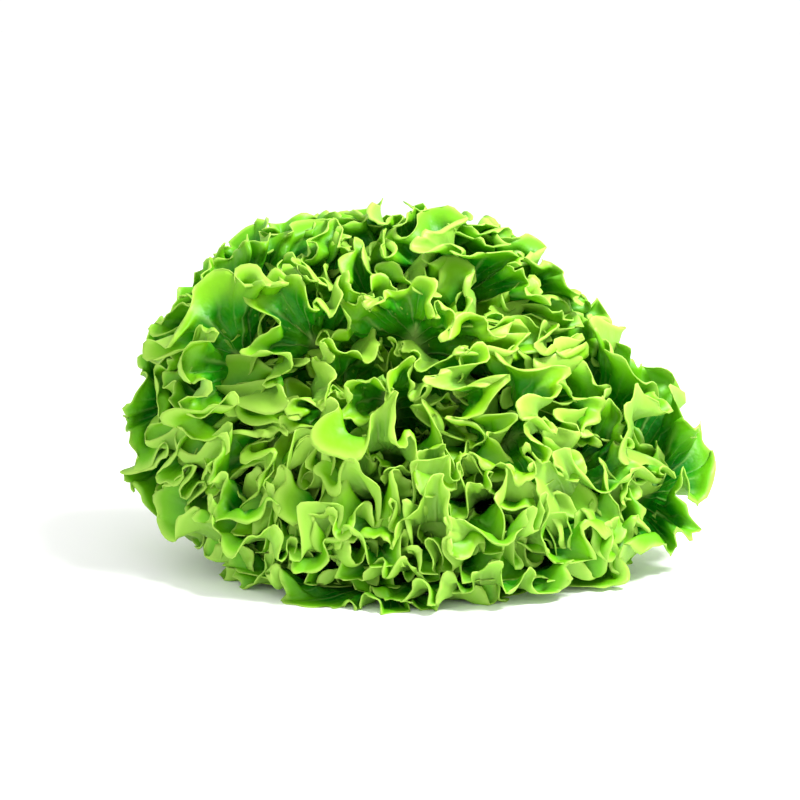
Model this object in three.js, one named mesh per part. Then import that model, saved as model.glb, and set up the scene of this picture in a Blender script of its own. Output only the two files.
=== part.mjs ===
// Curly leaf lettuce: one cut head lying on its side, with its crown to the front (-Y) and its butt at the back.
//
// The head is a short stem and forty-four leaves. Every leaf grows from the stem in the golden-angle spiral that
// lettuce follows, the youngest at the heart and the oldest outside. Each point of a leaf is given by three
// numbers: its distance from the growing point, its azimuth round the head's axis, and its layer, from 0 at the
// axis to 1 at the outside of the head. Each leaf keeps to its own thin range of layers, so no two leaves meet.
//
// Millimetres, +Z up. The origin is under the middle of the head, on the surface that it lies on.
import * as THREE from "three";
import { mergeVertices } from "three/addons/utils/BufferGeometryUtils.js";

const rad = THREE.MathUtils.degToRad;
const mix = THREE.MathUtils.lerp;

// ---- Driving dimensions ----

const WHORLS = [
  // name, number of leaves, colour
  ["heart_leaf", 8, 0xb9d94e],
  ["inner_leaf", 10, 0x9fcc3c],
  ["middle_leaf", 13, 0x86bb32],
  ["outer_leaf", 13, 0x74ab2c],
];
const LEAF_COUNT = WHORLS.reduce((sum, [, count]) => sum + count, 0);
const GOLDEN_ANGLE = rad(137.508);
const LAST_AZIMUTH = rad(-94); // the oldest leaf is the one that the head lies on

const AXIS_RISE = rad(30); // the axis climbs this much from butt to crown
const SINK = 2; // the outermost layer would lie this far under the surface, so the leaf there is pressed flat

const TIP_TILT = rad(72); // outermost leaf against the axis, at its tip
const FOOT_TILT_SHARE = 1.35; // of the tip's tilt, at the foot of the leaf: the blades cup towards the crown
const HEART_REACH = 138; // growing point to the tips of the heart leaves
// Growing point to the tips of the outermost leaves, by azimuth: 0 is to the right, 90 is up.
const OUTER_REACH = [
  [-75, 156],
  [-45, 164],
  [-17, 166],
  [-2, 164],
  [10, 150],
  [30, 137],
  [40, 130],
  [57, 156],
  [85, 158],
  [109, 146],
  [122, 158],
  [135, 164],
  [158, 168],
  [173, 162],
  [188, 146],
  [204, 142],
  [235, 150],
];

const STEM_RADIUS = 16;
const STEM_CORE = 34; // the stem's rounded top, over the growing point
const STEM_BELOW = 22; // growing point to the cut face
const CUT_RADIUS = 14.5;
// The lower rim of the cut face just clears the surface.
const BASE_HEIGHT = STEM_BELOW * Math.sin(AXIS_RISE) + CUT_RADIUS * Math.cos(AXIS_RISE) + 0.05;
const GROWING_POINT = new THREE.Vector3(-1.45, 61.75, BASE_HEIGHT);
const FOOT_GAP = 1.6; // between a leaf's middle line and the stem

const HEART_HALF_WIDTH = 44; // across the blade
const OUTER_HALF_WIDTH = 80;
const FOOT_HALF_WIDTH = 8;
const HEART_WRAP = rad(76); // the furthest that a leaf reaches round the axis, each way
const OUTER_WRAP = rad(46);
const BLADE_THICKNESS = 0.9;
const RIB_THICKNESS = 0.4; // added along the midrib, at its foot
const WAVES = 2; // of the frilled edge, on each half of a leaf
const HEART_WAVE = 0.26; // height of a wave, in steps from a leaf's layer to the next
const OUTER_WAVE = 0.6;

// ---- The head's shape ----

const axis = new THREE.Vector3(0, -Math.cos(AXIS_RISE), Math.sin(AXIS_RISE));
const right = new THREE.Vector3(1, 0, 0);
const above = new THREE.Vector3().crossVectors(right, axis).negate();

const smooth = (x) => THREE.MathUtils.smoothstep(x, 0, 1);

// The lesser of two angles, rounded where they cross.
const CROSSING = rad(14);
const softMin = (a, b) => -CROSSING * Math.log(Math.exp(-a / CROSSING) + Math.exp(-b / CROSSING));

// Reach of the outermost leaves at an azimuth, eased between the listed ones.
function outerReach(azimuth) {
  const list = [...OUTER_REACH, [OUTER_REACH[0][0] + 360, OUTER_REACH[0][1]]];
  const first = list[0][0];
  const turn = first + THREE.MathUtils.euclideanModulo(THREE.MathUtils.radToDeg(azimuth) - first, 360);
  const next = list.findIndex(([degrees]) => degrees > turn);
  const [d0, r0] = list[next - 1];
  const [d1, r1] = list[next];
  return mix(r0, r1, smooth((turn - d0) / (d1 - d0)));
}

// Tilt from the axis at which a ray of this azimuth meets the surface, at distance r from the growing point.
function surfaceTilt(azimuth, r) {
  const along = Math.sin(AXIS_RISE);
  const across = Math.sin(azimuth) * Math.cos(AXIS_RISE);
  const drop = (BASE_HEIGHT + SINK) / (r * Math.hypot(along, across));
  return Math.acos(-Math.min(1, drop)) + Math.atan2(across, along);
}

// Tilt of the outermost layer: a vase that opens towards the crown, pressed flat where it lies on the surface.
function outerTilt(azimuth, r) {
  const free = TIP_TILT * mix(FOOT_TILT_SHARE, 1, smooth(r / outerReach(azimuth)));
  return softMin(free, surfaceTilt(azimuth, r));
}

// The point at a tilt from the axis, an azimuth and a distance from the growing point.
function place(tilt, azimuth, r) {
  return GROWING_POINT.clone()
    .addScaledVector(axis, r * Math.cos(tilt))
    .addScaledVector(right, r * Math.sin(tilt) * Math.cos(azimuth))
    .addScaledVector(above, r * Math.sin(tilt) * Math.sin(azimuth));
}

// ---- Leaves ----

// The layer that has a given share of the leaves inside it, when all have an equal part of the crown.
const layerOf = (share) => Math.acos(1 - (1 - Math.cos(TIP_TILT)) * Math.min(1, share)) / TIP_TILT;

// Leaf number i, counted from the heart.
function leafPlan(i) {
  const layer = layerOf((i + 0.6) / LEAF_COUNT);
  const nextLayer = layerOf((i + 1.6) / LEAF_COUNT);
  const azimuth = LAST_AZIMUTH - (LEAF_COUNT - 1 - i) * GOLDEN_ANGLE;
  const tilt = layer * outerTilt(azimuth, STEM_CORE);
  const foot = 1 / Math.hypot(Math.cos(tilt) / STEM_CORE, Math.sin(tilt) / STEM_RADIUS) + FOOT_GAP;
  return {
    layer,
    azimuth,
    foot,
    length: mix(HEART_REACH, outerReach(azimuth), smooth(layer)) - foot,
    halfWidth: mix(HEART_HALF_WIDTH, OUTER_HALF_WIDTH, layer),
    wrap: mix(HEART_WRAP, OUTER_WRAP, smooth(layer * 1.5)),
    wave: (nextLayer - layer) * mix(HEART_WAVE, OUTER_WAVE, smooth(layer * 1.5)),
    wavePhase: i,
  };
}

// The edge of the blade, from the tip (t = 0) down one side to the foot (t = 1): across and along, as shares of
// the half width and the length. A round cap over the widest place, then a taper to the foot's width.
const WIDEST = 0.66;
const CAP_END = 0.42;
function bladeEdge(t, footShare) {
  if (t < CAP_END) {
    const turn = ((t / CAP_END) * Math.PI) / 2;
    return [Math.sin(turn), WIDEST + (1 - WIDEST) * Math.cos(turn)];
  }
  const down = (t - CAP_END) / (1 - CAP_END);
  return [mix(1, footShare, smooth(down)), WIDEST * (1 - down)];
}

// A point on one face of the leaf: side is 1 outside and -1 inside. s runs round the edge, from the foot (-1)
// over the tip (0) to the foot (1), and out runs along a vein from the midrib (0) to the edge (1).
const MIDRIB_SHARE = 0.78; // of the leaf's length
function leafPoint(leaf, s, out, side) {
  const t = Math.abs(s);
  const [across, along] = bladeEdge(t, FOOT_HALF_WIDTH / leaf.halfWidth);
  const veinFoot = MIDRIB_SHARE * (1 - t);
  const height = mix(veinFoot, along, out);
  const r = leaf.foot + leaf.length * height;
  const x = Math.sign(s) * across * out * leaf.halfWidth;
  const middleTilt = leaf.layer * outerTilt(leaf.azimuth, r);
  const turn = leaf.wrap * Math.tanh(x / (r * Math.sin(middleTilt)) / leaf.wrap);
  const frill = out ** 2 * (1 - smooth(t * 3 - 2));
  const wave = leaf.wave * frill * Math.cos(2 * Math.PI * WAVES * s + leaf.wavePhase);
  const azimuth = leaf.azimuth + turn;
  const thickness = BLADE_THICKNESS + RIB_THICKNESS * (1 - out) ** 2 * (1 - height);
  const tilt = (leaf.layer + wave) * outerTilt(azimuth, r) + (side * thickness) / 2 / r;
  const point = place(tilt, azimuth, r);
  point.z = Math.max(point.z, side > 0 ? 0 : thickness);
  return point;
}

// A leaf as a closed shell of two faces, zipped along the midrib and joined round the edge and the foot.
const OUT_STEPS = [0, 0.4, 0.74, 1];
const EDGE_STEPS = 20; // even, so that one falls on the tip
function leafGeometry(leaf) {
  const rows = OUT_STEPS.length;
  const columns = EDGE_STEPS + 1;
  const positions = [];
  for (const side of [1, -1]) {
    for (const out of OUT_STEPS) {
      for (let column = 0; column < columns; column++) {
        const s = (2 * column) / EDGE_STEPS - 1;
        positions.push(...leafPoint(leaf, out === 0 ? Math.abs(s) : s, out, side));
      }
    }
  }
  const triangles = [];
  const at = (face, row, column) => (face * rows + row) * columns + column;
  const quad = (a, b, c, d) => triangles.push(a, b, c, a, c, d);
  for (let c = 0; c < EDGE_STEPS; c++) {
    for (let row = 0; row < rows - 1; row++) {
      quad(at(0, row, c), at(0, row, c + 1), at(0, row + 1, c + 1), at(0, row + 1, c));
      quad(at(1, row, c), at(1, row + 1, c), at(1, row + 1, c + 1), at(1, row, c + 1));
    }
    quad(at(0, rows - 1, c), at(0, rows - 1, c + 1), at(1, rows - 1, c + 1), at(1, rows - 1, c));
  }
  for (let row = 0; row < rows - 1; row++) {
    const last = EDGE_STEPS;
    quad(at(0, row, 0), at(0, row + 1, 0), at(1, row + 1, 0), at(1, row, 0));
    quad(at(0, row + 1, last), at(0, row, last), at(1, row, last), at(1, row + 1, last));
  }
  const geometry = new THREE.BufferGeometry();
  geometry.setAttribute("position", new THREE.Float32BufferAttribute(positions, 3));
  geometry.setIndex(triangles);
  return mergeVertices(geometry, 1e-4);
}

// ---- Stem ----

// Turned about the axis: the flat cut face, the sides, and a rounded top inside the leaves.
const STEM_SIDES = 24;
const STEM_TOP_STEPS = 6;
function stemGeometry() {
  const profile = [new THREE.Vector2(0, -STEM_BELOW), new THREE.Vector2(CUT_RADIUS, -STEM_BELOW)];
  for (let step = 0; step <= STEM_TOP_STEPS; step++) {
    const turn = ((step / STEM_TOP_STEPS) * Math.PI) / 2;
    profile.push(new THREE.Vector2(STEM_RADIUS * Math.cos(turn), STEM_CORE * Math.sin(turn)));
  }
  profile.at(-1).x = 0;
  const geometry = new THREE.LatheGeometry(profile, STEM_SIDES);
  geometry.deleteAttribute("normal");
  geometry.deleteAttribute("uv");
  const upright = new THREE.Quaternion().setFromUnitVectors(new THREE.Vector3(0, 1, 0), axis);
  geometry.applyQuaternion(upright).translate(...GROWING_POINT);
  return mergeVertices(geometry, 1e-4);
}

// ---- The head ----

const lettuce = new THREE.Group();
lettuce.name = "curly_leaf_lettuce";

function add(name, geometry, color) {
  const material = new THREE.MeshStandardMaterial({ color, roughness: 0.55, metalness: 0 });
  const mesh = new THREE.Mesh(geometry, material);
  mesh.name = name;
  lettuce.add(mesh);
}

add("stem", stemGeometry(), 0xdfe3b4);
let leafNumber = 0;
for (const [whorl, count, color] of WHORLS) {
  for (let n = 1; n <= count; n++) {
    add(`${whorl}_${n}`, leafGeometry(leafPlan(leafNumber)), color);
    leafNumber += 1;
  }
}

export default lettuce;
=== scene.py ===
# %% [markdown]
# # A head of curly leaf lettuce
# The head lies on its side with its crown to the front. It is one short stem and forty-four broad leaves,
# whose edges grow much longer than the leaf that carries them, so they have to buckle into ruffles, and the
# ruffles into finer frills. This lesson builds each leaf as a mathematical surface, and gives it a leaf's
# soft, partly see-through skin.

import bpy
import numpy as np
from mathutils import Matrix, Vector


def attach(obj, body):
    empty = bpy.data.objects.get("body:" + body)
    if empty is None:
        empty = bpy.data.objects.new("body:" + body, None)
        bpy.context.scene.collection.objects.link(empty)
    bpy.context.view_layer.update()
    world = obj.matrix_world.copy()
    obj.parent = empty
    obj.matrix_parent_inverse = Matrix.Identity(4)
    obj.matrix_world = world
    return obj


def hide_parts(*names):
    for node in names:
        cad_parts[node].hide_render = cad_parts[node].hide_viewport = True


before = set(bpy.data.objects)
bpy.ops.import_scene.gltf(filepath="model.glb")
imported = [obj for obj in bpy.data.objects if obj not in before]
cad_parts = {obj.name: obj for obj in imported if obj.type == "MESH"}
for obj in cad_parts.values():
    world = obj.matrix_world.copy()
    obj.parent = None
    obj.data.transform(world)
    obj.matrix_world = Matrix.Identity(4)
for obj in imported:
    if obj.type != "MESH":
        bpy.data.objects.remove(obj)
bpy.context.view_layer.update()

# %% [markdown]
# ## The head's shape
# Every point of the head has three numbers: its distance from the growing point, its azimuth round the
# head's axis, and its layer, which is 0 on the axis and 1 at the outside. A leaf stays near its own layer,
# so leaves that are worked out separately still lie on each other much as real ones do. Their ruffles do
# cross in places. The alternative, simulating forty-four leaves pressing on each other, is slow and hard to
# steer.

# %% Turn layer, azimuth and distance into places
MM = 0.001
AXIS_RISE = np.radians(30)  # the axis climbs this much from butt to crown
STEM_BELOW, CUT_RADIUS, STEM_RADIUS, STEM_CORE = 22, 14.5, 16, 34
STEM_CLEARANCE = 0.05  # under the lowest point of the cut
BASE_HEIGHT = STEM_BELOW * np.sin(AXIS_RISE) + CUT_RADIUS * np.cos(AXIS_RISE) + STEM_CLEARANCE
GROWING_POINT = np.array([-1.45, 61.75, BASE_HEIGHT])
SINK = 2.0  # the head's weight presses the outermost layer down this much
TIP_TILT = np.radians(72)
FOOT_TILT_SHARE = 1.35  # of the tip's tilt, at the foot: the blades cup towards the crown
CROSSING = np.radians(14)  # how gently the free tilt gives way to the surface
HEART_REACH = 138
REACH = np.array([
    # azimuth in degrees, and how far the outermost leaves reach there
    (-75, 156), (-45, 164), (-17, 166), (-2, 164), (10, 150), (30, 137), (40, 130), (57, 156), (85, 158),
    (109, 146), (122, 158), (135, 164), (158, 168), (173, 162), (188, 146), (204, 142), (235, 150),
    (285, 156),
], float)
AXIS = np.array([0, -np.cos(AXIS_RISE), np.sin(AXIS_RISE)])
RIGHT = np.array([1.0, 0, 0])
ABOVE = np.array([0, np.sin(AXIS_RISE), np.cos(AXIS_RISE)])


def smooth(x):
    """0 below 0, 1 above 1, and 3x^2 - 2x^3 between."""
    x = np.clip(x, 0, 1)
    return x * x * (3 - 2 * x)


def mix(a, b, share):
    """a + (b - a) * share."""
    return a + (b - a) * share


def outer_reach(azimuth):
    """Reach of the outermost leaves: the listed reaches, eased from one azimuth to the next."""
    first = REACH[0, 0]
    turn = first + np.mod(np.degrees(azimuth) - first, 360)
    here = np.clip(np.searchsorted(REACH[:, 0], turn, side="right") - 1, 0, len(REACH) - 2)
    d0, r0, d1, r1 = REACH[here, 0], REACH[here, 1], REACH[here + 1, 0], REACH[here + 1, 1]
    return mix(r0, r1, smooth((turn - d0) / (d1 - d0)))


def outer_tilt(azimuth, r):
    """Tilt of the outermost layer: a soft minimum of an opening vase's tilt and the tilt at which a ray meets
    the surface under the head: -crossing * log(exp(-free / crossing) + exp(-meets / crossing))."""
    free = TIP_TILT * mix(FOOT_TILT_SHARE, 1, smooth(r / outer_reach(azimuth)))
    along, across = np.sin(AXIS_RISE), np.sin(azimuth) * np.cos(AXIS_RISE)
    drop = (BASE_HEIGHT + SINK) / (r * np.hypot(along, across))
    meets = np.arccos(-np.minimum(1, drop)) + np.arctan2(across, along)
    return -CROSSING * np.log(np.exp(-free / CROSSING) + np.exp(-meets / CROSSING))


def place(tilt, azimuth, r):
    """Growing point + r * (cos(tilt) * axis + sin(tilt) * sideways), where sideways = cos(azimuth) * right +
    sin(azimuth) * above."""
    out = np.cos(tilt)[..., None] * AXIS
    out = out + (np.sin(tilt) * np.cos(azimuth))[..., None] * RIGHT
    out = out + (np.sin(tilt) * np.sin(azimuth))[..., None] * ABOVE
    return GROWING_POINT + r[..., None] * out


print("the outermost leaves reach", np.round(outer_reach(np.radians([0, 90, 180, 270]))), "mm")

# %% [markdown]
# ## Where each leaf sits
# Lettuce puts out each leaf 137.5 degrees round from the last, the golden angle, so that no leaf shades the
# next. Counting from the heart, the layers share the crown out equally, and the leaves grow longer and
# wider outwards.

# %% Plan the leaves
WHORLS = [("heart_leaf", 8), ("inner_leaf", 10), ("middle_leaf", 13), ("outer_leaf", 13)]
LEAF_COUNT = sum(count for _, count in WHORLS)
GOLDEN_ANGLE = np.radians(137.508)
LAST_AZIMUTH = np.radians(-94)
FOOT_DEPTH = 1.0  # a leaf's foot goes this far into the stem, as a real one joins it
LENGTHS = np.random.default_rng(7).uniform(0.93, 1.05, LEAF_COUNT)
HALF_WIDTHS, FULL_WIDTH_LAYER = (38, 105), 0.8
WRAPS = (125, 70)  # how far round the head a leaf's sides may go, in degrees


def layer_of(share):
    """The layer inside which that share of the crown lies:
    acos(1 - (1 - cos(tip tilt)) * share) / tip tilt."""
    return np.arccos(1 - (1 - np.cos(TIP_TILT)) * min(1.0, share)) / TIP_TILT


def leaf_plan(i):
    """Layer, azimuth, foot distance, length, half width and wrap of leaf i, counted from the heart outwards.
    Each leaf stands one golden angle round from the next."""
    layer = layer_of((i + 0.6) / LEAF_COUNT)
    azimuth = LAST_AZIMUTH - (LEAF_COUNT - 1 - i) * GOLDEN_ANGLE
    tilt = layer * outer_tilt(azimuth, STEM_CORE)
    foot = 1 / np.hypot(np.cos(tilt) / STEM_CORE, np.sin(tilt) / STEM_RADIUS) - FOOT_DEPTH
    return {
        "number": i,
        "layer": layer,
        "azimuth": azimuth,
        "foot": foot,
        "length": (mix(HEART_REACH, float(outer_reach(azimuth)), smooth(layer)) - foot) * LENGTHS[i],
        "half_width": mix(*HALF_WIDTHS, min(1.0, layer / FULL_WIDTH_LAYER)),
        "wrap": np.radians(mix(*WRAPS, smooth(layer * 1.5))),
    }


plans = [leaf_plan(i) for i in range(LEAF_COUNT)]
print("leaf lengths from", round(plans[0]["length"]), "to", round(plans[-1]["length"]), "mm")

# %% [markdown]
# ## The flat blade
# Before it ruffles, a leaf is a flat fan: a round cap, then a taper to a narrow foot. Two numbers name a
# point on it: one runs round the edge from foot to foot, and one runs out along a vein from the midrib to
# the edge.

# %% Draw the flat blade
WIDEST, CAP_END, MIDRIB_SHARE, FOOT_HALF_WIDTH = 0.66, 0.42, 0.78, 8
EDGE_TABLE = 600
COARSEST = 0.3  # density of the columns near the foot, where the edge is plain


def blade_edge(t, foot_share):
    """An ellipse's quarter over the widest place, then an eased taper: across and along, as shares."""
    turn = np.minimum(t / CAP_END, 1) * np.pi / 2
    down = np.clip((t - CAP_END) / (1 - CAP_END), 0, 1)
    across = np.where(t < CAP_END, np.sin(turn), mix(1, foot_share, smooth(down)))
    along = np.where(t < CAP_END, WIDEST + (1 - WIDEST) * np.cos(turn), WIDEST * (1 - down))
    return across, along


def edge_walk(plan, half_columns):
    """Splits one side of the edge into steps that are short at the tip and longer towards the foot.
    Returns t, and the flat distance from the tip, at each step."""
    t = np.linspace(0, 1, EDGE_TABLE)
    across, along = blade_edge(t, FOOT_HALF_WIDTH / plan["half_width"])
    steps = np.hypot(np.diff(across * plan["half_width"]), np.diff(along * plan["length"]))
    walked = np.concatenate([[0], np.cumsum(steps)])
    density = mix(1, COARSEST, smooth((walked / walked[-1] - 0.42) / 0.3))
    column = np.concatenate([[0], np.cumsum(np.diff(walked) * (density[1:] + density[:-1]) / 2)])
    wanted = np.linspace(0, column[-1], half_columns + 1)
    return np.interp(wanted, column, t), np.interp(wanted, column, walked)


# %% [markdown]
# ## The ruffles
# A ruffled edge is a line that has been made too long for its place. Its direction swings to and fro like a
# meandering river's: angle = size * cos(distance), which gives round loops that lean over each other, where
# a plain wave would only give peaks. Adding a faster, smaller swing to the same angle frills the loops
# themselves. Each kind of wave dies away inwards from the edge, the finest first.

# %% Bend the edge into ruffles
ORDERS = [
    # flat wavelength, swing in radians, reach in from the edge (mm), from the heart to the outside
    {"wave": (46, 68), "swing": 0.8, "depth": 60},
    {"wave": (17, 21), "swing": 2.3, "depth": 37},
    {"wave": (7.5, 9.0), "swing": 1.15, "depth": 9},
    {"wave": (3.8, 4.2), "swing": 0.5, "depth": 3},
]
STEEPEST = 2.2  # no part of the line turns further than this, in radians
PHASE_WANDER, SWING_WANDER = 0.3, 0.22  # so that no two ruffles are alike


def wander(x, wavelength, seed):
    """A smooth random line between about -1 and 1: three sines of unlike wavelengths and seeded phases."""
    phases = np.random.default_rng(seed).uniform(0, 2 * np.pi, 3)
    rates = 2 * np.pi / wavelength * np.array([1, 0.618, 1.47])
    return sum(np.sin(rate * x + phase) for rate, phase in zip(rates, phases)) / 2.2


def running_mean(rows, width):
    """Each row's mean over a sliding window of that many samples, with the ends held."""
    width = max(3, int(width) | 1)
    padded = np.pad(rows, ((0, 0), (width // 2 + 1, width // 2)), mode="edge")
    total = np.cumsum(padded, axis=1)
    return (total[:, width:] - total[:, :-width]) / width


def meander(plan, distance, inset):
    """For each row (inset = distance in from the edge) and each place along the edge: how far the ruffled line
    has moved along the edge and across it. direction = sum of swing * exp(-inset / depth) * cos(phase). The
    moves are the running sums of cos(direction) / its mean - 1 and of sin(direction) / the same mean, less
    their drift."""
    fade = 1 - smooth((np.abs(distance) / np.abs(distance).max() - 0.42) / 0.42)
    direction = np.zeros((len(inset), len(distance)))
    first_wave = 0
    for k, order in enumerate(ORDERS):
        wave = mix(*order["wave"], plan["layer"])
        first_wave = first_wave or wave
        seed = 100 * plan["number"] + 10 * k
        phase = 2 * np.pi * (distance / wave + PHASE_WANDER * wander(distance, 2.6 * wave, seed))
        swing = order["swing"] * fade * (1 + SWING_WANDER * wander(distance, 3.1 * wave, seed + 1))
        direction += np.exp(-inset / order["depth"])[:, None] * (swing * np.cos(phase))[None, :]
    direction = STEEPEST * np.tanh(direction / STEEPEST)
    step = np.gradient(distance)
    window = first_wave / np.median(step[len(step) // 3:-len(step) // 3])
    forward = np.cos(direction)
    mean = np.maximum(running_mean(forward, window), 0.2)
    along = np.cumsum((forward / mean - 1) * step, axis=1)
    across = np.cumsum(np.sin(direction) / mean * step, axis=1)
    return (along - running_mean(along, window)) * fade, (across - running_mean(across, window)) * fade


# %% [markdown]
# ## From blade to leaf
# The flat blade is first bent smoothly into its layer. Then each of its points moves with the ruffled line,
# along the edge and across the layers. On a real leaf the blade between the veins has bulged too, and the
# edge is lobed and toothed. All of it is done with moves of the same grid, which leaves the shape of the
# mesh free of seams. The grid has its finest columns at the edge and half as many at each step inwards,
# because only the edge is frilled.

# %% Lay out the rows of the grid
BANDS = [
    # rows from the edge inwards, and how many times the columns have been halved there
    (np.array([0, 1.1, 2.2, 3.4, 4.7, 6.1, 7.7, 9.5]), 0),
    (np.array([11.6, 14.0, 16.8, 20.0, 23.6]), 1),
    (np.array([28.0, 33.0, 39.0]), 2),
]
INNER_SHARES = np.array([0.88, 0.76, 0.64, 0.53, 0.43, 0.33, 0.24, 0.15, 0.07, 0])
FINEST_HALVING = 2
BAND_SHARE = 0.62  # the rows at a fixed inset take up at most this much of a short vein


def leaf_rows():
    """Every row from the edge to the midrib: its inset in mm where that is fixed, its share out, and how many
    times its columns have been halved."""
    rows = [(inset, 1.0, halving) for insets, halving in BANDS for inset in insets]
    last = BANDS[-1][0][-1]
    return rows + [(last, share, FINEST_HALVING + 1) for share in INNER_SHARES]


def flat_grid(plan, columns):
    """Every row's points on the flat blade: midrib point + vein * share out. A row sits a fixed distance in
    from the edge, squeezed where the vein is short, and then by shares of the vein."""
    t_side, walked = edge_walk(plan, columns // 2)
    t = np.concatenate([t_side[::-1], t_side[1:]])
    distance = np.concatenate([-walked[::-1], walked[1:]])
    across, along = blade_edge(t, FOOT_HALF_WIDTH / plan["half_width"])
    edge = np.stack([np.sign(distance) * across * plan["half_width"], along * plan["length"]], axis=-1)
    midrib = np.stack([np.zeros_like(t), MIDRIB_SHARE * (1 - t) * plan["length"]], axis=-1)
    vein = edge - midrib
    vein_length = np.maximum(np.linalg.norm(vein, axis=-1), FOOT_HALF_WIDTH)
    rows = leaf_rows()
    fixed = np.array([row[0] for row in rows])
    shares = np.array([row[1] for row in rows])
    squeeze = np.minimum(1, BAND_SHARE * vein_length / BANDS[-1][0][-1])
    inset = fixed[:, None] * squeeze[None, :]
    out = (1 - inset / vein_length[None, :]) * shares[:, None]
    return {
        "rows": rows, "fixed": fixed, "shares": shares, "distance": distance, "vein_length": vein_length,
        "inset": inset, "out": out, "flat": midrib[None] + vein[None] * out[..., None],
        "fade": 1 - smooth((np.abs(distance) / np.abs(distance).max() - 0.5) / 0.4),
    }


# %% Bend the flat blade into its layer
CROWN_MIDDLE = 60  # up the axis: every leaf's back faces away from this point


def bend(plan, flat):
    """Distance = foot + height; azimuth = the leaf's own + wrap * tanh(sideways angle / wrap); and
    tilt = layer * the outermost layer's tilt there. Returns the points, their distances and azimuths, and that
    outermost tilt."""
    r = np.maximum(plan["foot"] + flat[..., 1], plan["foot"])
    middle_tilt = plan["layer"] * outer_tilt(plan["azimuth"], r)
    turn = flat[..., 0] / (r * np.sin(middle_tilt))
    azimuth = plan["azimuth"] + plan["wrap"] * np.tanh(turn / plan["wrap"])
    widest = outer_tilt(azimuth, r)
    return place(plan["layer"] * widest, azimuth, r), r, azimuth, widest


def surface_normals(grid):
    """The cross product of the steps along and across the grid, turned to face away from the crown's middle;
    the midrib takes its neighbours' mean."""
    normal = np.cross(np.gradient(grid, axis=1), np.gradient(grid, axis=0))
    normal /= np.maximum(np.linalg.norm(normal, axis=-1, keepdims=True), 1e-12)
    rib = normal[-2] + normal[-2, ::-1]
    normal[-1] = rib / np.linalg.norm(rib, axis=-1, keepdims=True)
    outward = grid - (GROWING_POINT + AXIS * CROWN_MIDDLE)
    return normal * np.sign((normal * outward).sum(-1).mean())


# %% [markdown]
# ## Bulges, lobes and teeth
# Three things make the blade uneven besides its ruffles: one slow bend along the edge, blisters near the
# edge, and wider bulges further in. Blisters and bulges are each a wave along the edge times a wave inwards,
# and both waves drift, so the pattern never repeats. The moves out of the layer are limited: a leaf may go
# outwards only part of the way to the outermost layer, and its inner part hardly moves inwards, so that
# fewer edges come out through the leaf that covers them.

# %% Move the blade out of its layer and along it
SLOW_WAVE, SLOW_HEIGHT = 75, 7
# height, then along the edge and inwards: wavelength, drift, and the drift's own wavelength
BLISTER, BLISTER_WAVES = 2.6, ((17, 0.4, 40), (19, 0.3, 55))
BULGE, BULGE_WAVES = 1.7, ((41, 0.5, 90), (37, 1.0, 80))
UNDER_THE_OUTERMOST = 0.75
OUTERMOST_LIFT = 7  # the outermost leaves may stand out this much past their layer at the edge
INNER_SWAY, EDGE_SWAY = 1.0, 45
LOBE_WAVE, LOBE_HEIGHT, LOBE_DEPTH = 30, 3.5, 25
TOOTH, TOOTH_HEIGHT, TOOTH_DEPTH = 8.0, 8.0, 3.5


def bumps(distance, inwards, waves, seed):
    """sin(place along the edge) * cos(place inwards), each with its own wavelength and a seeded drift."""
    (wave, drift, slow), (wave_in, drift_in, slow_in) = waves
    along = np.sin(2 * np.pi * (distance / wave + drift * wander(distance, slow, seed)))
    place_in = inwards / wave_in + drift_in * wander(distance, slow_in, seed + 1)[None, :]
    return along[None, :] * np.cos(2 * np.pi * place_in)


def lift_off_layer(plan, grid, shift_across, reach_out, seed):
    """Ruffles + slow bend + blisters + bulges, and then limit * tanh(lift / limit), with one limit outwards
    (reach_out * share + lift of the outermost leaves) and another inwards (sway)."""
    distance, out, fade = grid["distance"], grid["out"], grid["fade"]
    blisters = bumps(distance, grid["inset"], BLISTER_WAVES, seed + 3)
    bulges = bumps(distance, grid["vein_length"] * (1 - out), BULGE_WAVES, seed + 5)
    slow = wander(distance, SLOW_WAVE, seed) * SLOW_HEIGHT * fade
    lift = shift_across + slow * smooth((out - 0.3) / 0.7) + BLISTER * blisters * smooth(out / 0.4) * fade
    lift = lift + BULGE * (1 + bulges) * smooth(out / 0.25) * smooth((0.9 - out) / 0.3)
    most = UNDER_THE_OUTERMOST * (1 - plan["layer"]) * reach_out
    most = most + OUTERMOST_LIFT * smooth((plan["layer"] - 0.9) / 0.05) * smooth((out - 0.4) / 0.6)
    least = INNER_SWAY + (EDGE_SWAY - INNER_SWAY) * smooth((out - 0.55) / 0.45)
    limit = np.maximum(np.where(lift > 0, most, least), 0.1)
    return limit * np.tanh(lift / limit)


def edge_push(grid, seed):
    """How far lobes and teeth push the edge out: a slow random line, and a sawtooth |fraction - 1/2|, each
    dying away inwards as exp(-inset / depth)."""
    distance, inset, fade = grid["distance"], grid["inset"], grid["fade"]
    lobes = wander(distance, LOBE_WAVE, seed + 1) * LOBE_HEIGHT * fade
    saw = np.mod(distance / TOOTH + 0.5 * wander(distance, 21, seed + 2), 1)
    teeth = np.abs(saw - 0.5) * TOOTH_HEIGHT * fade
    lobed = lobes * grid["shares"][:, None] ** 2 * np.exp(-inset / LOBE_DEPTH)
    return lobed + teeth * np.exp(-inset / TOOTH_DEPTH)


# %% Work out a leaf's middle surface
INNERMOST_INSET = 60  # what the rows inside the bands count as, where the ruffles have died away
BLADES = (0.8, 0.6)  # thickness in mm, at the midrib and at the edge
RIB_HEIGHT, RIB_WIDTHS = 4.6, (7, 1.6)


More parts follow.
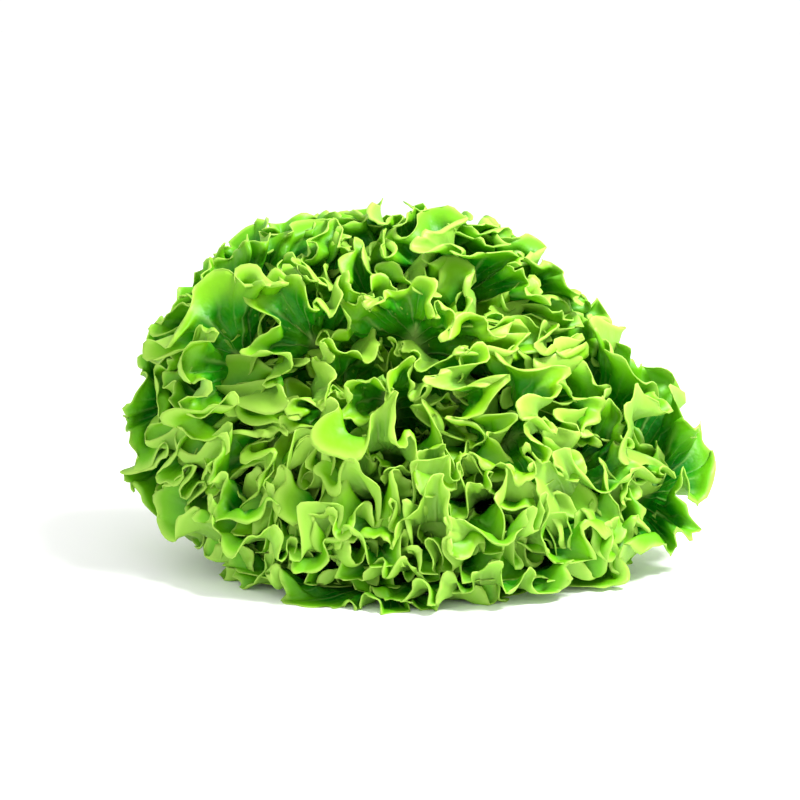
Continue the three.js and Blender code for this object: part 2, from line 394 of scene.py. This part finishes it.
def middle_surface(plan, columns):
    """Smooth leaf + edge direction * ruffle along + direction to the edge * push + normal * lift, where the
    ruffles shrink with the room that the surface under the head leaves. Returns the points, the half
    thickness, the rib, the uv and the rows."""
    grid = flat_grid(plan, columns)
    shares, out = grid["shares"], grid["out"]
    seed = 100 * plan["number"] + 50
    inset_of_row = np.where(shares < 1, INNERMOST_INSET, grid["fixed"])
    shift_along, shift_across = meander(plan, grid["distance"], inset_of_row)
    shift_along *= shares[:, None] ** 2
    shift_across *= shares[:, None] ** 2
    leaf, r, azimuth, widest = bend(plan, grid["flat"])
    normal = surface_normals(leaf)
    along_edge = np.gradient(leaf, axis=1)
    along_edge /= np.maximum(np.linalg.norm(along_edge, axis=-1, keepdims=True), 1e-9)
    to_edge = np.cross(along_edge, normal)
    free_tilt = TIP_TILT * mix(FOOT_TILT_SHARE, 1, smooth(r / outer_reach(azimuth)))
    room = (widest / free_tilt) ** 0.7
    lift = lift_off_layer(plan, grid, shift_across, widest * r, seed) * room
    point = leaf + along_edge * (shift_along * room)[..., None]
    point = point + to_edge * edge_push(grid, seed)[..., None] + normal * lift[..., None]
    height = np.clip(grid["flat"][..., 1] / plan["length"], 0, 1)
    side = np.abs(grid["flat"][..., 0])
    blade = mix(*BLADES, smooth(out))
    rib = RIB_HEIGHT * (1 - height) ** 1.3 * np.exp(-((side / mix(*RIB_WIDTHS, height)) ** 2))
    uv = np.stack([np.broadcast_to(grid["distance"], out.shape) / 100, out], axis=-1)
    return point, blade / 2, rib, uv, grid["rows"]


# %% [markdown]
# ## A closed skin
# The middle surface is moved out to both sides by half the blade's thickness, and the two sheets are joined
# round the edge. Solidify would do this too, but here each sheet's distance can vary, so the rib swells on
# the back alone and the blade thins towards its edge. No leaf goes below its own lowest height, and each
# leaf's is a step above that of the leaf outside it. With one height for all, the leaves under the head
# would share a plane there. Every face lists its corners anticlockwise as seen from outside, which is what
# makes it point outwards.

# %% Build the leaf's mesh
LOWEST, LEAF_STEP, THINNEST = 0.15, 1.0, 0.5


def leaf_mesh(plan, columns):
    """Two sheets, at middle surface + normal * (half thickness + rib) and at middle surface - normal * half
    thickness, and the strips that join them. Returns vertices, faces, uvs, and 1 for each vertex on the
    back."""
    point, half_blade, rib, uv, rows = middle_surface(plan, columns)
    normal = surface_normals(point)
    sheets = [point + normal * (half_blade + rib)[..., None], point - normal * half_blade[..., None]]
    lowest = LOWEST + LEAF_STEP * (LEAF_COUNT - 1 - plan["number"])
    sheets = [np.stack([s[..., 0], s[..., 1], np.maximum(s[..., 2], lowest + THINNEST * k)], axis=-1)
              for k, s in enumerate(sheets)]
    counts = [columns >> row[2] for row in rows]
    vertices, coords, backs, index = [], [], [], []
    start = 0
    for k, (row, count) in enumerate(zip(rows, counts)):
        step = columns // count
        used = np.arange(0, columns + 1, step)
        on_rib = k == len(rows) - 1
        if on_rib:
            used = used[: count // 2 + 1]
        for sheet, is_back in zip(sheets, (1.0, 0.0)):
            vertices.append(sheet[k, used])
            coords.append(uv[k, used])
            backs.append(np.full(len(used), is_back))
        n = len(used)
        first = np.arange(n)
        if on_rib:
            first = np.concatenate([first, first[-2::-1]])
        index.append((start + first, start + n + first))
        start += 2 * n
    quads, triangles = [], []
    for k in range(len(rows) - 1):
        for side in (0, 1):
            outer, inner = index[k][side], index[k + 1][side]
            if len(outer) == len(inner):
                strip = np.stack([outer[:-1], outer[1:], inner[1:], inner[:-1]], axis=-1)
                quads.append(strip[:, ::-1] if side == 0 else strip)
            else:
                a, b, c = outer[:-2:2], outer[1:-1:2], outer[2::2]
                p, q = inner[:-1], inner[1:]
                three = np.concatenate([np.stack(x, axis=-1) for x in ((a, b, p), (b, q, p), (b, c, q))])
                triangles.append(three[:, ::-1] if side == 0 else three)
    rim = np.stack([index[0][0][:-1], index[0][0][1:], index[0][1][1:], index[0][1][:-1]], axis=-1)
    quads.append(rim)
    for end, order in ((0, -1), (-1, 1)):
        front = np.array([i[0][end] for i in index])
        rear = np.array([i[1][end] for i in index])
        strip = np.stack([front[:-1], front[1:], rear[1:], rear[:-1]], axis=-1)
        quads.append(strip[:, ::order])
    faces = [row for block in quads + triangles for row in block.tolist()]
    return np.concatenate(vertices), faces, np.concatenate(coords), np.concatenate(backs)


def add_mesh(name, vertices_mm, faces, uv, attribute, values):
    """A new object with its vertices in metres, smooth faces, one number a vertex, and a uv map if one is
    given."""
    mesh = bpy.data.meshes.new(name)
    mesh.from_pydata((vertices_mm * MM).tolist(), [], faces)
    mesh.update()
    mesh.shade_smooth()
    if uv is not None:
        corner = np.empty(len(mesh.loops), np.int32)
        mesh.loops.foreach_get("vertex_index", corner)
        layer = mesh.uv_layers.new(name="leaf")
        layer.data.foreach_set("uv", uv[corner].astype(np.float32).ravel())
    number = mesh.attributes.new(name=attribute, type="FLOAT", domain="POINT")
    number.data.foreach_set("value", values.astype(np.float32))
    piece = bpy.data.objects.new(name, mesh)
    bpy.context.scene.collection.objects.link(piece)
    return piece


# %% [markdown]
# ## A leaf's skin
# A lettuce leaf is a wet, thin sheet. Its upper side is a deep, clean green with pale veins, its back is
# paler and duller, and the frilled edge is palest of all. The blade's green, darkest towards the midrib, is
# partly its own and partly painted shade of the hollows inside the head; the palest line at the lip is
# partly the leaf's own paler margin and partly a painted edge highlight. Some light is reflected and some
# comes through, so a leaf in front of a lamp glows yellow-green. Subsurface scattering could make the glow,
# but it is meant for thick bodies and is slow in sheets, so a translucent shader is mixed in instead. The
# colours follow two things that the mesh carries: the share of the way out from the midrib to the edge,
# and whether a point is on the back.

# %% Mix a leaf's colour from its veins, its edge and its back
THROUGH_SHARE = 0.3
# pale green for the back and the lip: on the back it is the leaf's own paleness, at the lip partly its own
# paler margin and partly a painted edge highlight
LIP = (0.54, 0.79, 0.13)
RIB = (0.5, 0.74, 0.2)
MAIN_VEINS, FINE_VEINS = 6.0, 18.0  # in each 100 mm along the edge
CLOUD_SCALE, CLOUD_DETAIL, VEIN_SWAY = 90.0, 3.0, 0.03
BACK_PALENESS, LIP_PALENESS_AND_HIGHLIGHT, LIP_START = 0.4, 0.6, 0.93
PUCKER, RELIEF, RELIEF_HEIGHT = 2.0, 0.7, 0.0014


class Nodes:
    """A material's nodes, with short ways to add the kinds that the leaves and the stem need."""

    def __init__(self, name):
        self.material = bpy.data.materials.new(name)
        self.material.use_nodes = True
        self.tree = self.material.node_tree
        self.tree.nodes.clear()

    def add(self, kind, **inputs):
        """A node with the given inputs: a socket is linked, and anything else is set."""
        node = self.tree.nodes.new(kind)
        for name, value in inputs.items():
            self.give(node.inputs[name.replace("_", " ")], value)
        return node

    def give(self, socket, value):
        """Links a socket to this one, or sets this one's own value."""
        if isinstance(value, bpy.types.NodeSocket):
            self.tree.links.new(value, socket)
        elif isinstance(value, tuple) and len(value) == 3 and socket.type == "RGBA":
            socket.default_value = (*value, 1)
        else:
            socket.default_value = value

    def math(self, kind, a, b=0.0):
        """One sum of two numbers or sockets."""
        node = self.tree.nodes.new("ShaderNodeMath")
        node.operation = kind
        self.give(node.inputs[0], a)
        self.give(node.inputs[1], b)
        return node.outputs[0]

    def blend(self, share, a, b):
        """Colour a where the share is 0, and colour b where it is 1."""
        node = self.tree.nodes.new("ShaderNodeMix")
        node.data_type = "RGBA"
        for socket, value in zip((node.inputs[0], node.inputs[6], node.inputs[7]), (share, a, b)):
            self.give(socket, value)
        return node.outputs[2]

    def ramp(self, value, low, high):
        """0 below low, 1 above high, and eased between."""
        node = self.add("ShaderNodeMapRange", Value=value, From_Min=low, From_Max=high)
        node.interpolation_type = "SMOOTHSTEP"
        return node.outputs[0]

    def noise(self, scale, detail):
        """Cloudy noise in the object's own space."""
        place_in = self.add("ShaderNodeTexCoord").outputs["Object"]
        return self.add("ShaderNodeTexNoise", Vector=place_in, Scale=scale, Detail=detail).outputs[0]

    def uv(self):
        """X: distance along the edge, in 100 mm. Y: the share of the way out from the midrib."""
        node = self.tree.nodes.new("ShaderNodeUVMap")
        node.uv_map = "leaf"
        return self.add("ShaderNodeSeparateXYZ", Vector=node.outputs[0]).outputs

    def attribute(self, name):
        """The number that each vertex carries under that name."""
        node = self.tree.nodes.new("ShaderNodeAttribute")
        node.attribute_name = name
        return node.outputs["Fac"]

    def bump(self, height, strength, distance):
        """A normal that leans as if the surface were raised by the height."""
        return self.add("ShaderNodeBump", Strength=strength, Distance=distance, Height=height).outputs[0]


def veins(nodes, along, per_unit, width):
    """1 on evenly spaced lines across the edge, fading to 0 at that width either side."""
    fraction = nodes.math("FRACT", nodes.math("MULTIPLY", along, per_unit))
    off = nodes.math("ABSOLUTE", nodes.math("SUBTRACT", fraction, 0.5))
    return nodes.math("SUBTRACT", 1.0, nodes.ramp(off, 0.0, width))


def leaf_skin(name, blade, edge):
    """Blade colour, and over it in turn the edge, the veins, the midrib, the paler back and the pale lip. The
    blade's darker green is partly painted shade of the head's hollows, and the lip partly a painted highlight.
    """
    nodes = Nodes(name)
    uv = nodes.uv()
    out_share = uv["Y"]
    cloud = nodes.noise(CLOUD_SCALE, CLOUD_DETAIL)
    sway = nodes.math("MULTIPLY", nodes.math("SUBTRACT", cloud, 0.5), VEIN_SWAY)
    along = nodes.math("ADD", uv["X"], sway)
    inwards = nodes.math("SUBTRACT", 1.0, nodes.ramp(out_share, 0.55, 0.95))
    main = nodes.math("MULTIPLY", veins(nodes, along, MAIN_VEINS, 0.1), inwards)
    middle = nodes.math("MULTIPLY", nodes.ramp(out_share, 0.25, 0.6), inwards)
    fine = nodes.math("MULTIPLY", veins(nodes, along, FINE_VEINS, 0.16), middle)
    vein = nodes.math("MAXIMUM", main, nodes.math("MULTIPLY", fine, 0.5))
    # the blade darkens towards the midrib: partly the leaf's own deeper green, partly painted shade of the
    # hollows inside the head
    colour = nodes.blend(nodes.ramp(out_share, 0.66, 0.98), blade, edge)
    colour = nodes.blend(nodes.math("MULTIPLY", nodes.ramp(cloud, 0.4, 0.7), 0.3), colour, edge)
    colour = nodes.blend(nodes.math("MULTIPLY", vein, 0.35), colour, RIB)
    colour = nodes.blend(nodes.math("SUBTRACT", 1.0, nodes.ramp(out_share, 0.0, 0.2)), colour, RIB)
    colour = nodes.blend(nodes.math("MULTIPLY", nodes.attribute("back"), BACK_PALENESS), colour, LIP)
    # a pale band at the lip: partly the leaf's own paler margin, partly a painted edge highlight
    lip_paleness_and_highlight = nodes.math("MULTIPLY", nodes.ramp(out_share, LIP_START, 1.0), LIP_PALENESS_AND_HIGHLIGHT)
    colour = nodes.blend(lip_paleness_and_highlight, colour, LIP)
    puckers = nodes.math("MULTIPLY", cloud, nodes.math("ADD", 1.0, nodes.math("MULTIPLY", inwards, PUCKER)))
    height = nodes.math("ADD", nodes.math("MULTIPLY", vein, 0.8), puckers)
    normal = nodes.bump(height, RELIEF, RELIEF_HEIGHT)
    skin = nodes.add("ShaderNodeBsdfPrincipled", Base_Color=colour, Roughness=0.45, Normal=normal)
    skin.inputs["Specular IOR Level"].default_value = 0.3
    through = nodes.add("ShaderNodeBsdfTranslucent", Color=colour)
    both = nodes.add("ShaderNodeMixShader", Fac=THROUGH_SHARE)
    nodes.tree.links.new(skin.outputs[0], both.inputs[1])
    nodes.tree.links.new(through.outputs[0], both.inputs[2])
    nodes.add("ShaderNodeOutputMaterial", Surface=both.outputs[0])
    return nodes.material


SKINS = {
    # the blade's colour, darker partly as painted shade of the head's hollows, and the colour towards its edge
    "heart_leaf": leaf_skin("heart_leaf_blade", (0.03, 0.34, 0.001), (0.27, 0.6, 0.006)),
    "inner_leaf": leaf_skin("inner_leaf_blade", (0.015, 0.3, 0.001), (0.23, 0.57, 0.005)),
    "middle_leaf": leaf_skin("middle_leaf_blade", (0.006, 0.26, 0.001), (0.19, 0.54, 0.004)),
    "outer_leaf": leaf_skin("outer_leaf_blade", (0.003, 0.22, 0.001), (0.16, 0.51, 0.003)),
}
print("made", len(SKINS), "leaf skins")

# %% [markdown]
# ## Lay the leaves on the frame
# Each leaf stands for the plain plate of the same name in the frame, which stays in the physics model. The
# fine columns run round the edge. The heart's leaves are small, so they get fewer.

# %% Build the forty-four leaves
COLUMNS = {"heart_leaf": 320, "inner_leaf": 400, "middle_leaf": 432, "outer_leaf": 432}
names = [(whorl, f"{whorl}_{n}") for whorl, count in WHORLS for n in range(1, count + 1)]
triangles = 0
for plan, (whorl, name) in zip(plans, names):
    vertices, faces, uv, back = leaf_mesh(plan, COLUMNS[whorl])
    piece = add_mesh(name + "_ruffled", vertices, faces, uv, "back", back)
    piece.data.materials.append(SKINS[whorl])
    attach(piece, "root")
    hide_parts(name)
    triangles += sum(len(face) - 2 for face in faces)
print("the leaves have", triangles, "triangles")

# %% [markdown]
# ## The stem
# The butt is a stubby core, pale and ridged where older leaves were pulled away. It was cut with a knife,
# and the milky sap dried on the cut face to a rusty tan, darkest round the rim and in a ring of vessels. A
# turned cylinder would do from afar. Here the turned shape is a numpy surface, so that its radius can swell
# and dip.

# %% Build the stem
STEM_SIDES = 120
RIM_ROUND = 1.2


def stem_mesh():
    """Rings round the axis: over the cut face, round its rim, up the side, and over a rounded top.
    radius = profile radius * (1 + ridges), where the ridges are sines of the angle and the height."""
    over_cut = np.linspace(0, CUT_RADIUS - RIM_ROUND, 12)
    turn = np.linspace(0, np.pi / 2, 5)[1:]
    up_side = np.linspace(-STEM_BELOW + RIM_ROUND, 0, 14)[1:]
    top = np.linspace(0, np.pi / 2, 10)[1:]
    side_radius = mix(CUT_RADIUS, STEM_RADIUS, smooth((up_side + STEM_BELOW) / STEM_BELOW))
    rim_radius = CUT_RADIUS - RIM_ROUND + RIM_ROUND * np.sin(turn)
    radius = np.concatenate([over_cut, rim_radius, side_radius, STEM_RADIUS * np.cos(top)])
    cut_height = np.full(len(over_cut), -STEM_BELOW)
    rim_height = -STEM_BELOW + RIM_ROUND * (1 - np.cos(turn))
    height = np.concatenate([cut_height, rim_height, up_side, STEM_CORE * np.sin(top)])
    angle = np.arange(STEM_SIDES) * 2 * np.pi / STEM_SIDES
    on_side = smooth((height + STEM_BELOW) / 3) * (1 - smooth(height / 8))
    lean = angle[None, :] + height[:, None] * 0.05
    ridges = 0.022 * np.sin(5 * lean) + 0.014 * np.sin(13 * lean + 1)
    ridges = ridges + 0.01 * np.sin(height[:, None] * 1.4 + 2 * lean)
    ring = radius[:, None] * (1 - 0.03 * on_side[:, None] + on_side[:, None] * ridges)
    dip = 0.5 * np.cos(np.minimum(radius / CUT_RADIUS, 1) * np.pi / 2) * (height == -STEM_BELOW)
    level = np.broadcast_to((height + dip)[:, None], ring.shape)
    points = ring[..., None] * (np.cos(angle)[:, None] * RIGHT + np.sin(angle)[:, None] * ABOVE)
    points = GROWING_POINT + points + level[..., None] * AXIS
    points[..., 2] = np.maximum(points[..., 2], STEM_CLEARANCE)
    rings = len(radius)
    body = points[1:-1].reshape(-1, 3)
    vertices = np.concatenate([points[:1, 0], body, points[-1:, 0]])
    here = 1 + np.arange(STEM_SIDES)[None, :] + STEM_SIDES * np.arange(rings - 2)[:, None]
    there = np.roll(here, -1, axis=1)
    quads = np.stack([there[:-1], there[1:], here[1:], here[:-1]], axis=-1).reshape(-1, 4)
    last = len(vertices) - 1
    first_fan = np.stack([there[0], here[0], np.zeros(STEM_SIDES, int)], axis=-1)
    last_fan = np.stack([here[-1], there[-1], np.full(STEM_SIDES, last)], axis=-1)
    cut = np.concatenate([over_cut / CUT_RADIUS, 1 + np.arange(rings - len(over_cut)) * 0.1])
    cut = np.concatenate([cut[:1], np.repeat(cut[1:-1], STEM_SIDES), cut[-1:]])
    faces = quads.tolist() + first_fan.tolist() + last_fan.tolist()
    return vertices, faces, cut


def stem_skin():
    """Pale flesh on the side; on the cut face, dried sap that darkens towards the rim and in a ring."""
    nodes = Nodes("stem_flesh")
    cut = nodes.attribute("cut")
    blotch = nodes.noise(260.0, 4.0)
    grain = nodes.noise(900.0, 2.0)
    flesh = nodes.blend(nodes.ramp(blotch, 0.35, 0.7), (0.66, 0.74, 0.36), (0.5, 0.62, 0.2))
    dried = nodes.blend(nodes.ramp(blotch, 0.3, 0.7), (0.62, 0.44, 0.2), (0.42, 0.2, 0.07))
    off_ring = nodes.math("ABSOLUTE", nodes.math("SUBTRACT", cut, 0.66))
    ring = nodes.math("SUBTRACT", 1.0, nodes.ramp(off_ring, 0.0, 0.1))
    dark = nodes.math("MAXIMUM", nodes.math("MULTIPLY", ring, 0.6), nodes.ramp(cut, 0.8, 1.0))
    face = nodes.blend(nodes.math("MULTIPLY", dark, 0.7), dried, (0.24, 0.1, 0.035))
    colour = nodes.blend(nodes.ramp(cut, 1.02, 1.5), face, flesh)
    normal = nodes.bump(nodes.math("ADD", blotch, nodes.math("MULTIPLY", grain, 0.4)), 0.6, 0.0008)
    skin = nodes.add("ShaderNodeBsdfPrincipled", Base_Color=colour, Roughness=0.55, Normal=normal)
    nodes.add("ShaderNodeOutputMaterial", Surface=skin.outputs[0])
    return nodes.material


vertices, faces, cut = stem_mesh()
stem = add_mesh("stem_cut", vertices, faces, None, "cut", cut)
stem.data.materials.append(stem_skin())
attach(stem, "root")
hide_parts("stem")
print("the stem has", len(faces), "faces")

# %% [markdown]
# ## A white studio
# The head lies on a white surface under a white sky, so that its background is plain and its shadow is
# faint. The sky alone would light it flat from all sides. One soft lamp, high on the right and a little
# behind, makes the upper frills bright, lets light through the leaves on that side, and leaves the hollows
# between them dark.

# %% Lay the floor and hang the lamps
FLOOR_HALF = 6.0
SKY = 1.06

floor_mesh = bpy.data.meshes.new("floor")
corners = [(-FLOOR_HALF, -FLOOR_HALF, 0), (FLOOR_HALF, -FLOOR_HALF, 0)]
corners += [(FLOOR_HALF, FLOOR_HALF, 0), (-FLOOR_HALF, FLOOR_HALF, 0)]
floor_mesh.from_pydata(corners, [], [(0, 1, 2, 3)])
floor = bpy.data.objects.new("floor", floor_mesh)
bpy.context.scene.collection.objects.link(floor)
paint = Nodes("white_floor")
matte = paint.add("ShaderNodeBsdfPrincipled", Base_Color=(0.95, 0.95, 0.95), Roughness=0.7)
paint.add("ShaderNodeOutputMaterial", Surface=matte.outputs[0])
floor_mesh.materials.append(paint.material)

world = bpy.data.worlds.new("studio")
world.use_nodes = True
sky = world.node_tree.nodes["Background"]
sky.inputs["Color"].default_value = (1, 1, 1, 1)
sky.inputs["Strength"].default_value = SKY
bpy.context.scene.world = world


def softbox(name, place_m, aim_m, size, power):
    """A round lamp of that size, in metres, turned to its aim."""
    light = bpy.data.lights.new(name, "AREA")
    light.shape = "DISK"
    light.size = size
    light.energy = power
    lamp = bpy.data.objects.new(name, light)
    lamp.location = place_m
    lamp.rotation_euler = (Vector(aim_m) - Vector(place_m)).to_track_quat("-Z", "Y").to_euler()
    bpy.context.scene.collection.objects.link(lamp)


HEAD_MIDDLE = (0, 0, 0.08)
softbox("key", (0.6, -0.1, 1.0), HEAD_MIDDLE, 0.4, 25)
softbox("fill", (-1.2, -0.9, 0.7), HEAD_MIDDLE, 1.0, 3)

# %% [markdown]
# ## The camera
# It looks at the crown from in front and a little above. A long lens keeps the near frills from looming.

# %% Set the camera
ELEVATION = np.radians(12)
LENS, SENSOR = 100, 36
VIEW_WIDTH = 0.406
AIM = Vector((-0.001, 0.0, 0.083))

camera_data = bpy.data.cameras.new("camera")
camera_data.lens = LENS
camera_data.sensor_width = SENSOR
camera = bpy.data.objects.new("camera", camera_data)
towards = Vector((0, -np.cos(ELEVATION), np.sin(ELEVATION)))
camera.location = AIM + towards * (LENS / SENSOR * VIEW_WIDTH)
camera.rotation_euler = (-towards).to_track_quat("-Z", "Y").to_euler()
bpy.context.scene.collection.objects.link(camera)
bpy.context.scene.camera = camera
bpy.context.scene.view_settings.view_transform = "Standard"
